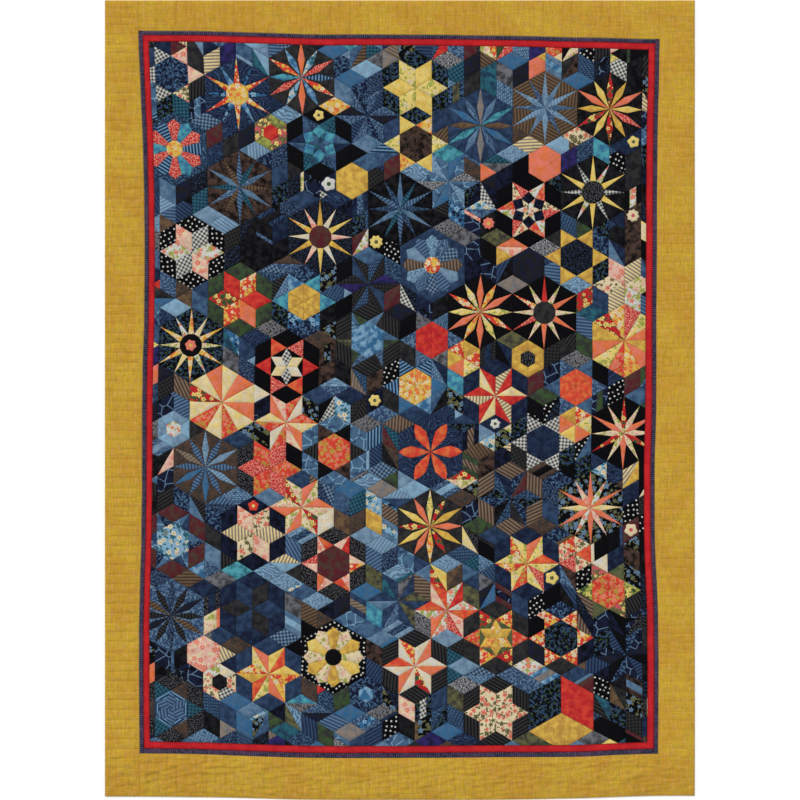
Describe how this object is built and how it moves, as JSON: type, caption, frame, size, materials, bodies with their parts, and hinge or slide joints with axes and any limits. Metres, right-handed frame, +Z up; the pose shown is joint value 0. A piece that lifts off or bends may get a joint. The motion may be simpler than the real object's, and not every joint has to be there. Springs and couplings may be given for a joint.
{
  "type": "quilt",
  "caption": "Flat patchwork bed quilt: a dark pieced centre with bright stars and rosettes, narrow red and navy strips, and a wide mustard border quilted in parallel lines.",
  "frame": {"origin": "on the underside, at the middle of the quilt's outline", "axes": "+X across the quilt, to its right as seen from above with its head away; +Y along it, to its head; +Z up, out of its face"},
  "size_m": [1.475, 2.0001, 0.0066],
  "materials": {
    "patchwork_cottons": "matt printed and woven cottons, mostly indigo, black and blue with bright stars",
    "red_cotton": "matt plain red cotton",
    "navy_ticked_cotton": "matt navy cotton with fine light ticks across it",
    "mustard_cotton": "matt finely checked mustard cotton with slubs"
  },
  "bodies": {
    "root": {"patchwork_centre": "patchwork_cottons", "red_strip_left": "red_cotton", "red_strip_right": "red_cotton", "red_strip_bottom": "red_cotton", "red_strip_top": "red_cotton", "navy_strip_left": "navy_ticked_cotton", "navy_strip_right": "navy_ticked_cotton", "navy_strip_bottom": "navy_ticked_cotton", "navy_strip_top": "navy_ticked_cotton", "border_left": "mustard_cotton", "border_right": "mustard_cotton", "border_bottom": "mustard_cotton", "border_top": "mustard_cotton"}
  },
  "joints": []
}
